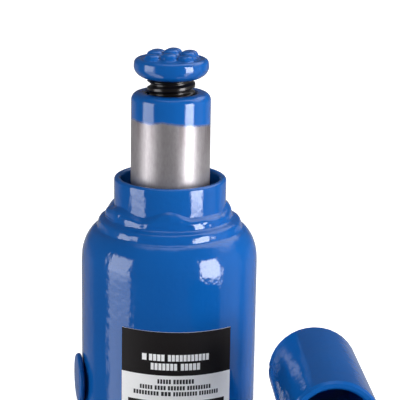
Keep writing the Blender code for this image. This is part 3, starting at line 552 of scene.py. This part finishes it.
def saddle_height(x, y, crown, knobs):
    """Height of the saddle's top at a point: a domed face with rounded knobs standing on it."""
    face = crown - SADDLE_VALLEY - KNOB_FALL * (x ** 2 + y ** 2)
    rise = 0.0
    for knob_x, knob_y in knobs:
        gap = math.hypot(x - knob_x, y - knob_y)
        if gap < KNOB_REACH:
            tall = crown - KNOB_FALL * (knob_x ** 2 + knob_y ** 2) - face
            rise = max(rise, tall * (1.0 - (gap / KNOB_REACH) ** KNOB_SHOULDER) ** 0.5)
    return face + rise


def saddle_ring(radius, crown, knobs):
    """Heights round one ring of the saddle's face, running into the rim near its edge."""
    blend = min(1.0, (SADDLE_EDGE - radius) / SADDLE_BLEND)
    heights = []
    for side in range(FINE_ROUND):
        angle = math.tau * side / FINE_ROUND
        height = saddle_height(radius * math.cos(angle), radius * math.sin(angle), crown, knobs)
        heights.append(SADDLE_FACE + blend * (height - SADDLE_FACE))
    return heights


def build_saddle(finish):
    """Saddle as one closed shape: bulged rim under a domed face with nine rounded knobs."""
    low, high = extent("saddle")
    crown = high.z - INSIDE
    knobs = knob_centres()
    rim = flowing([(SADDLE_HOLE, low.z), (SADDLE_HOLE + 1.25, low.z + 0.02), *SADDLE_UNDER,
                   (high.x - INSIDE, SADDLE_WIDEST), *SADDLE_UPPER, (SADDLE_EDGE, SADDLE_FACE)])
    bm = bmesh.new()
    rings = [ring_of(bm, radius, [height] * FINE_ROUND) for radius, height in rim]
    for row in range(1, SADDLE_ROWS):
        radius = SADDLE_EDGE * (1.0 - row / SADDLE_ROWS)
        rings.append(ring_of(bm, radius, saddle_ring(radius, crown, knobs)))
    rings.append(ring_of(bm, 0, [crown]))
    for ring, other in zip(rings, rings[1:]):
        join_rings(bm, ring, other, FINE_ROUND)
    bm.faces.new(rings[0])
    piece("saddle_head", bm, finish, "extension_screw", ["saddle"], sharp=80)


def build_ram(finish):
    """Hollow ram with its seal spigot, flange and rounded top."""
    low, high = extent("ram")
    flange_foot, flange_top = (low.z + height for height in RAM_FLANGE)
    hole = RAM_HOLE + RAM_HOLE_EDGE
    outline = [(0, low.z), (RAM_SPIGOT, low.z), (RAM_SPIGOT, flange_foot),
               (high.x, flange_foot), (high.x, flange_top), (RAM_RADIUS, flange_top),
               *arc(RAM_RADIUS - RAM_EDGE, high.z - RAM_EDGE, RAM_EDGE, 0, 90, 12),
               (hole, high.z), *arc(hole, high.z - RAM_HOLE_EDGE, RAM_HOLE_EDGE, 90, 180, 5),
               (RAM_HOLE, RAM_BORE_TOP), (RAM_BORE, RAM_BORE_TOP), (RAM_BORE, RAM_BORE_FOOT),
               (0, RAM_BORE_POINT)]
    piece("ram_rod", turned(outline), finish, "ram", ["ram"])


def build_screw(finish):
    """Extension screw: a threaded bar on a plain shank."""
    low, _ = extent("extension_screw")
    screw = threaded_bar(THREAD_ROOT, THREAD_CREST, THREAD_PITCH, THREAD_FOOT, THREAD_TOP)
    piece("extension_thread", screw, finish, "extension_screw", ["extension_screw"], sharp=70)
    shank = turned([(0, low.z), (SHANK_RADIUS, low.z), (SHANK_RADIUS, SHANK_TOP),
                    (0, SHANK_TOP)], SMALL_ROUND)
    piece("screw_shank", shank, finish, "extension_screw")


# ---------------------------------------------------------------- tank and neck

def round_value(table, degrees):
    """Smoothly read a (degrees, value) table."""
    for (start, first), (end, second) in zip(table, table[1:]):
        if start <= degrees <= end:
            t = (degrees - start) / (end - start)
            return first + (second - first) * t * t * (3 - 2 * t)
    return table[0][1]


def wander(angle, height, fineness):
    """Smooth closed noise round the axis, about -1 to 1."""
    place = Vector((LUMP_CIRCLE * math.cos(angle), LUMP_CIRCLE * math.sin(angle), height))
    return noise_value(place * fineness + Vector((fineness, 0, 0)))


def ramp(value, start, length):
    """0 up to a start, then a straight rise to 1 over a length."""
    return min(1.0, max(0.0, (value - start) / length))


def shape_weld(shell):
    """Gives the tank's weld its lumps, its bulging upper ridge and its uneven top edge."""
    for vertex in shell.verts:
        x, y, z = vertex.co / MM
        reach = math.hypot(x, y)
        on_inner_wall = z <= INNER_WALL_TOP and reach < INNER_WALL_REACH
        if z < WELD_LUMPS_FROM[0] or on_inner_wall:
            continue
        angle = math.atan2(y, x)
        lumps = sum(height * wander(angle, share * z, fineness)
                    for height, share, fineness in WELD_LUMPS)
        lumps += ramp(z, *WELD_RIDGE_FROM) * round_value(WELD_BULGE, math.degrees(angle))
        fade = ramp(z, *WELD_LUMPS_FROM) * ramp(reach, *WELD_NECK_FROM)
        grow = 1.0 + fade * lumps / reach
        rise = ramp(z, *WELD_EDGE_FROM) * round_value(WELD_EDGE, math.degrees(angle))
        vertex.co = Vector((x * grow, y * grow, z + rise)) * MM


def apply_modifiers(target):
    """Bakes an object's modifiers into its mesh."""
    depsgraph = bpy.context.evaluated_depsgraph_get()
    mesh = bpy.data.meshes.new_from_object(target.evaluated_get(depsgraph))
    target.modifiers.clear()
    target.data = mesh
    shade(mesh)


def drill_plug_hole(tank):
    """Cuts the filler plug's hole through the side of the tank."""
    foot, top = PLUG_HOLE_SPAN
    drill = turned([(0, foot), (PLUG_HOLE, foot), (PLUG_HOLE, top), (0, top)], SMALL_ROUND)
    hole = add_object("plug_hole", mesh_from(drill, "plug_hole"))
    stand_along(hole, (0, 0, PLUG_HEIGHT), joint_axis("filler_plug_pull"))
    bpy.context.view_layer.update()
    modifier = tank.modifiers.new("plug_hole", "BOOLEAN")
    modifier.operation = "DIFFERENCE"
    modifier.solver = "EXACT"
    modifier.object = hole
    apply_modifiers(tank)
    bpy.data.objects.remove(hole, do_unlink=True)


def build_tank(finish):
    """Reservoir shell whose domed shoulder runs into a lumpy two-pass weld at the neck."""
    low, high = extent("reservoir_tank")
    radius = high.x
    side = [(radius - inwards, height) for inwards, height in TANK_SIDE]
    shoulder = flowing([*side, *TANK_SHOULDER], 6)
    edge_width, edge_height = TANK_FOOT_EDGE
    outline = [(radius - edge_width, low.z), (radius, low.z + edge_height),
               (radius, TANK_STRAIGHT), *shoulder, *TANK_INSIDE, (TANK_INSIDE[-1][0], low.z)]
    shell = turned(outline, FINE_ROUND)
    shape_weld(shell)
    tank = piece("tank_shell", shell, finish, "jack_body", ["reservoir_tank", "neck_weld"],
                 sharp=60)
    drill_plug_hole(tank)


def build_neck(finish):
    """Pressure cylinder whose open end, with a rolled lip, is the neck."""
    low, high = extent("pressure_cylinder")
    radius, lip_height = high.x, high.z - NECK_LIP
    outline = [(CYLINDER_BORE, low.z), (radius, low.z),
               *arc(radius - NECK_LIP, lip_height, NECK_LIP, 0, 90, 8),
               *arc(NECK_BORE + NECK_LIP, lip_height, NECK_LIP, 90, 180, 8),
               (NECK_BORE, NECK_FLOOR), (CYLINDER_BORE, NECK_FLOOR)]
    piece("cylinder_tube", turned(outline), finish, "jack_body", ["pressure_cylinder"])


def build_plug(finish):
    """Domed filler plug pressed into the tank's left side."""
    outline = [*PLUG_STEM, *flowing(PLUG_HEAD), PLUG_CROWN]
    piece("plug_head", turned(outline, SMALL_ROUND), finish, "filler_plug", ["filler_plug"],
          (0, 0, PLUG_HEIGHT), joint_axis("filler_plug_pull"), sharp=60)


# ---------------------------------------------------------------- label

def blocks(rows, pitch, gap, slot):
    """Bars (foot, top, left, right, slot) that break each span of each row into equal blocks."""
    bars = []
    for top, foot, spans in rows:
        for left, right in spans:
            count = max(1, round((right - left) / pitch))
            width = (right - left + gap) / count
            for index in range(count):
                start = left + index * width
                bars.append((foot, top, start, start + width - gap, slot))
    return bars


def label_bars(foot, head):
    """Everything on the white label: the heading band, the lower box and the rows of blocks."""
    bars = [(HEADING_FOOT, head, -LABEL_HALF, LABEL_HALF, BLACK_SLOT)]
    bars += blocks(HEADING_ROWS, *HEADING_PITCH, WHITE_SLOT)
    bars += blocks(NOTE_ROWS, *NOTE_PITCH, GREY_SLOT)
    bars.append((foot + BOX_FOOT, BOX_TOP, -BOX_HALF, BOX_HALF, BLACK_SLOT))
    box_rows = []
    for index in range(BOX_ROWS):
        row_foot = foot + BOX_ROW_FOOT + BOX_ROW_PITCH * index
        span = (-BOX_ROW_HALF, BOX_ROW_HALF - BOX_ROW_INDENT * (index % 3))
        box_rows.append((row_foot + BOX_ROW_TALL, row_foot, (span,)))
    return bars + blocks(box_rows, *BOX_PITCH, WHITE_SLOT)


def slot_at(bars, height, angle):
    """Slot of the last bar that covers a point of the label."""
    slot = WHITE_SLOT
    for foot, top, left, right, bar_slot in bars:
        if foot < height < top and left < angle < right:
            slot = bar_slot
    return slot


def label_grid(bm, radius, heights, angles):
    """Mesh points of the label's front or back, row by row."""
    return [[point_at(bm, radius, math.radians(LABEL_MIDDLE + angle), height + LABEL_LEAN * angle)
             for angle in angles] for height in heights]


def build_label(finishes):
    """Wrapped label with plain blocks where print would be, as one thin closed shape."""
    low, high = extent("body_label")
    head = high.z - LABEL_HEAD_MARGIN
    bars = label_bars(low.z, head)
    heights = sorted({low.z + LABEL_FOOT_MARGIN, head} | {z for bar in bars for z in bar[:2]})
    columns = [LABEL_HALF * (2 * index / LABEL_COLUMNS - 1) for index in range(LABEL_COLUMNS + 1)]
    angles = sorted({round(angle, 3) for angle in columns}
                    | {round(angle, 3) for bar in bars for angle in bar[2:4]})
    bm = bmesh.new()
    front = label_grid(bm, LABEL_OUTER, heights, angles)
    back = label_grid(bm, LABEL_INNER, heights, angles)
    for row in range(len(heights) - 1):
        for column in range(len(angles) - 1):
            face = bm.faces.new((front[row][column], front[row][column + 1],
                                 front[row + 1][column + 1], front[row + 1][column]))
            face.material_index = slot_at(bars, 0.5 * (heights[row] + heights[row + 1]),
                                          0.5 * (angles[column] + angles[column + 1]))
            bm.faces.new((back[row][column], back[row + 1][column],
                          back[row + 1][column + 1], back[row][column + 1]))
    for outer, inner in ((front[0], back[0]), (front[-1], back[-1])):
        for column in range(len(angles) - 1):
            bm.faces.new((outer[column], outer[column + 1], inner[column + 1], inner[column]))
    for column in (0, -1):
        for row in range(len(heights) - 1):
            bm.faces.new((front[row][column], front[row + 1][column],
                          back[row + 1][column], back[row][column]))
    label = piece("label_panel", bm, finishes[WHITE_SLOT], "jack_body", ["body_label"])
    for finish in finishes[1:]:
        label.data.materials.append(finish)


# ---------------------------------------------------------------- carried-over CAD nodes

def break_edges(shown, width):
    """Softly rounds the corners of a shown object."""
    modifier = shown.modifiers.new("broken_edges", "BEVEL")
    modifier.width = width * MM
    modifier.segments = 2
    modifier.limit_method = "ANGLE"
    modifier.angle_limit = math.radians(SHARP)


def build_socket(finish):
    """Handle socket in its CAD shape, shaded smoothly except at its real corners."""
    shown = frame["nodes"]["handle_socket"]
    bm = bmesh.new()
    bm.from_mesh(shown.data)
    bm.transform(shown.matrix_world)
    bmesh.ops.remove_doubles(bm, verts=bm.verts, dist=0.002 * MM)
    made = piece("socket_tube", bm, finish, "handle_socket", ["handle_socket"], sharp=35)
    break_edges(made, 0.4)
    even = made.modifiers.new("even_shading", "WEIGHTED_NORMAL")
    even.keep_sharp = True
    even.weight = 100


def repaint(node, finish, edge=0.0):
    """Gives a CAD node a finish and, where it is seen, softly broken edges."""
    shown = frame["nodes"][node]
    if shown.material_slots:
        for slot in shown.material_slots:
            slot.material = finish
    else:
        shown.data.materials.append(finish)
    if edge:
        break_edges(shown, edge)


# ---------------------------------------------------------------- stage

def build_stage():
    """Pale floor that sweeps up behind the jack."""
    finish, _, shader, _ = plain("pale_floor", (0.92, 0.92, 0.92), 0.9)
    glow(shader, SWEEP_GLOW)
    bm = bmesh.new()
    rows = [[bm.verts.new((x, y, z - SWEEP_DROP)) for x in (-SWEEP_HALF, SWEEP_HALF)]
            for y, z in SWEEP_PROFILE]
    for row, other in zip(rows, rows[1:]):
        bm.faces.new((row[0], row[1], other[1], other[0]))
    mesh = bpy.data.meshes.new("studio_sweep")
    bm.to_mesh(mesh)
    bm.free()
    mesh.materials.append(finish)
    mesh.shade_smooth()
    sweep = add_object("studio_sweep", mesh)
    sweep.visible_glossy = False
    sweep.visible_diffuse = False


def smooth_step(tree, angle, between, onto=(0.0, 1.0)):
    """Smooth step of an angle between two limits in degrees."""
    return spread(tree, angle, [math.radians(limit) for limit in between], onto, smooth=True)


def panel(tree, azimuth, elevation, left, right, soft, points):
    """Brightness of a light panel with soft sides, as steps of brightness up its height."""
    rise = smooth_step(tree, azimuth, (left - soft, left + soft))
    fall = smooth_step(tree, azimuth, (right - soft, right + soft), (1.0, 0.0))
    across = arithmetic(tree, "MULTIPLY", rise, fall)
    upwards = points[0][1]
    for (start, before), (end, after) in zip(points, points[1:]):
        change = smooth_step(tree, elevation, (start, end), (0.0, after - before))
        upwards = arithmetic(tree, "ADD", change, upwards)
    return arithmetic(tree, "MULTIPLY", across, upwards)


def build_lights():
    """Studio round the jack: a tall softbox on either side, a dim panel at the right, a soft
    one above the rear, a pale ceiling, and a dim room with a low paler wall behind."""
    world = bpy.data.worlds.new("studio")
    world.use_nodes = True
    tree = world.node_tree
    background = tree.nodes["Background"]
    coordinates = tree.nodes.new("ShaderNodeTexCoord")
    parts = tree.nodes.new("ShaderNodeSeparateXYZ")
    tree.links.new(coordinates.outputs["Generated"], parts.inputs[0])
    x, y, z = parts.outputs
    across, along = math.cos(math.radians(FRONT_TURN)), math.sin(math.radians(FRONT_TURN))
    to_right = add_share(tree, arithmetic(tree, "MULTIPLY", x, across), y, -along)
    to_front = add_share(tree, arithmetic(tree, "MULTIPLY", x, -along), y, -across)
    azimuth = arithmetic(tree, "ARCTAN2", to_right, to_front)
    elevation = arithmetic(tree, "ARCSINE", z)
    panels = 0.0
    for values in (REAR_PANEL, SIDE_PANEL, FILL_PANEL, KEY_PANEL):
        panels = arithmetic(tree, "ADD", panel(tree, azimuth, elevation, *values), panels)
    wall = smooth_step(tree, elevation, BACK_WALL_TOP, (BACK_WALL - ROOM, 0.0))
    far_side = spread(tree, to_front, BACK_WALL_SIDE, (1.0, 0.0), smooth=True)
    room = arithmetic(tree, "ADD", arithmetic(tree, "MULTIPLY", wall, far_side), ROOM)
    ceiling = smooth_step(tree, elevation, CEILING_EDGE, (0.0, CEILING))
    total = arithmetic(tree, "ADD", panels, arithmetic(tree, "ADD", room, ceiling))
    background.inputs["Color"].default_value = (*STUDIO_TINT, 1.0)
    tree.links.new(total, background.inputs["Strength"])
    bpy.context.scene.world = world


def build_camera():
    """Camera a little to the left of the jack and above it, without any lens shift."""
    bpy.context.scene.view_settings.view_transform = "Standard"
    camera = bpy.data.cameras.new("main_view")
    camera.sensor_width = CAMERA_SENSOR
    camera.lens = CAMERA_LENS
    camera.clip_start = 0.01
    made = add_object("main_view", camera)
    turn = (Matrix.Rotation(math.radians(-CAMERA_YAW), 3, "Z")
            @ Matrix.Rotation(math.radians(90 - CAMERA_PITCH), 3, "X")
            @ Matrix.Rotation(math.radians(CAMERA_ROLL), 3, "Z"))
    made.rotation_euler = turn.to_euler()
    made.location = Vector(CAMERA_AT) * MM
    bpy.context.scene.camera = made


# ---------------------------------------------------------------- assembly

def build_looks():
    """Finishes, shaped pieces and the CAD nodes that keep their own shape."""
    paint = enamel("blue_enamel")
    cast_paint = enamel("blue_enamel_on_casting", 0.00003, 200.0, grain=1.2)
    inner_paint = enamel("blue_overspray", 0.00003, 400.0)
    plug_rubber = enamel("blue_sprayed_rubber", 0.00002, 420.0, roughness=0.26, specular=0.22)
    zinc = turned_steel("zinc_plated_steel", (0.55, 0.55, 0.53), 0.34, 1500.0)
    bright = turned_steel("polished_rod", (0.66, 0.66, 0.65), 0.16, 2600.0)
    pin_steel = turned_steel("pin_steel", (0.5, 0.5, 0.49), 0.3, 1800.0, axis=0)
    brass = turned_steel("brass_and_copper", (0.70, 0.48, 0.24), 0.3, 1500.0)
    black = oiled_black("oiled_black_steel")
    seal = rubber("seal_rubber")
    nylon = film("natural_nylon", (0.78, 0.76, 0.70), 0.5)
    # The white label gets a faint painted glow of its own, so it looks brighter than its lamps
    # light it.
    label_finishes = (film("label_white", (0.90, 0.90, 0.89), painted_glow=0.13),
                      film("label_black", (0.013, 0.011, 0.011)),
                      film("label_grey", (0.05, 0.05, 0.052)))
    build_ram(ram_finish())
    build_screw(black)
    build_saddle(paint)
    build_tank(paint)
    build_neck(paint)
    build_plug(plug_rubber)
    build_label(label_finishes)
    build_socket(paint)
    # CAD nodes as (finish, width of the broken edges, names)
    kept_shapes = (
        (cast_paint, 0.5, ("base_casting",)),
        (zinc, 0.25, ("pump_cylinder", "link_plate_left", "link_plate_right", "release_screw",
                      "relief_screw")),
        (bright, 0.25, ("pump_plunger",)),
        (pin_steel, 0.2, ("link_pin", "lever_pin", "plunger_pin")),
        (inner_paint, 0.0, ("gland_nut",)),
        (black, 0.0, ("link_pin_clip", "lever_pin_clip", "plunger_pin_clip",
                      "screw_stop_ring")),
        (seal, 0.0, ("wiper_ring", "gland_seal", "ram_cup_seal", "pump_packing",
                     "plunger_o_ring", "release_o_ring")),
        (brass, 0.0, ("cylinder_gasket", "pump_washer", "oil_strainer",
                      "outlet_ball_retainer")),
        (bright, 0.0, ("inlet_ball", "outlet_ball", "relief_ball", "release_ball",
                       "relief_spring", "ram_seal_nut", "outlet_passage_plug",
                       "inlet_passage_plug")),
        (nylon, 0.0, ("ram_backup_ring",)),
    )
    for finish, edge, nodes in kept_shapes:
        for node in nodes:
            repaint(node, finish, edge)


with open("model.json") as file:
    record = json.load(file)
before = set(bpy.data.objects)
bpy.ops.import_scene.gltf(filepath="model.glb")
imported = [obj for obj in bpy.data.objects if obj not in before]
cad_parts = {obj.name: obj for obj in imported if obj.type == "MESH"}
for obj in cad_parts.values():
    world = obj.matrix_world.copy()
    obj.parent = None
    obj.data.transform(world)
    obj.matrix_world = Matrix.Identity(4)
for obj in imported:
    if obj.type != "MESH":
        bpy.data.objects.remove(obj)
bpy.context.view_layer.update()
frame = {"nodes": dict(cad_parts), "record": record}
build_looks()
build_stage()
build_lights()
build_camera()
